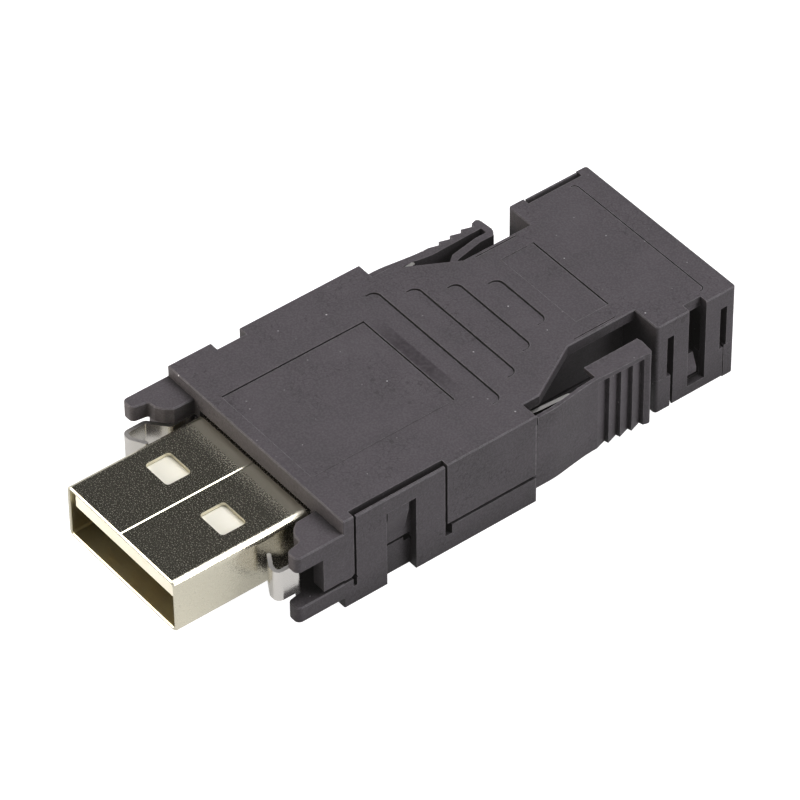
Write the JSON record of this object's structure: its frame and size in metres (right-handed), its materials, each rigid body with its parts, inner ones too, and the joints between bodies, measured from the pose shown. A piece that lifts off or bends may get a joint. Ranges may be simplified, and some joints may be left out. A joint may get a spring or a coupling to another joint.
{
  "type": "usb-a plug",
  "caption": "Field-fit USB-A plug in a two-part snap housing, with a sprung metal hook and a ribbed squeeze lever on each side.",
  "frame": {"origin": "centre of the plug's mouth, on the plug's long axis", "axes": "+Y from the mouth to the cable entry, +Z out of the upper half, +X to the right with the mouth towards the viewer's front"},
  "size_m": [0.0192, 0.0459, 0.0078],
  "materials": {
    "housing": "dark grey glass-filled moulding",
    "spring_steel": "bright stainless sheet",
    "shield": "bright nickel plate",
    "insulator": "ivory moulding",
    "contact": "gold plate over copper alloy",
    "wire_holder": "off-white moulding",
    "inner_shield": "tin plated sheet",
    "ferrule": "tin plated copper alloy"
  },
  "bodies": {
    "housing": {"upper_shell": "housing", "lower_shell": "housing", "plug_shield": "shield", "contact_insulator": "insulator", "power_contact": "contact", "data_minus_contact": "contact", "data_plus_contact": "contact", "ground_contact": "contact", "wire_block": "wire_holder", "wire_cap": "wire_holder", "upper_inner_shield": "inner_shield", "lower_inner_shield": "inner_shield", "crimp_ferrule": "ferrule"},
    "right_lever": {"right_release_lever": "housing"},
    "left_lever": {"left_release_lever": "housing"},
    "right_strip": {"right_latch_strip": "spring_steel"},
    "left_strip": {"left_latch_strip": "spring_steel"}
  },
  "joints": [
    {"name": "right_lever_press", "type": "hinge", "parent": "housing", "child": "right_lever", "pos_m": [0.00915, 0.0273, 0], "axis": [0, 0, 1], "range_deg": [0, 7.3], "stiffness_Nm_per_rad": 0.05},
    {"name": "left_lever_press", "type": "hinge", "parent": "housing", "child": "left_lever", "pos_m": [-0.00915, 0.0273, 0], "axis": [0, 0, -1], "range_deg": [0, 7.3], "stiffness_Nm_per_rad": 0.05},
    {"name": "right_hook_rock", "type": "hinge", "parent": "housing", "child": "right_strip", "pos_m": [0.0071, 0.021, 0], "axis": [0, 0, 1], "range_deg": [0, 2], "stiffness_Nm_per_rad": 0.1},
    {"name": "left_hook_rock", "type": "hinge", "parent": "housing", "child": "left_strip", "pos_m": [-0.0071, 0.021, 0], "axis": [0, 0, -1], "range_deg": [0, 2], "stiffness_Nm_per_rad": 0.1}
  ],
  "couplings": [
    {"joint": "right_lever_press", "follows": "right_hook_rock", "ratio": 3.65},
    {"joint": "left_lever_press", "follows": "left_hook_rock", "ratio": 3.65}
  ]
}
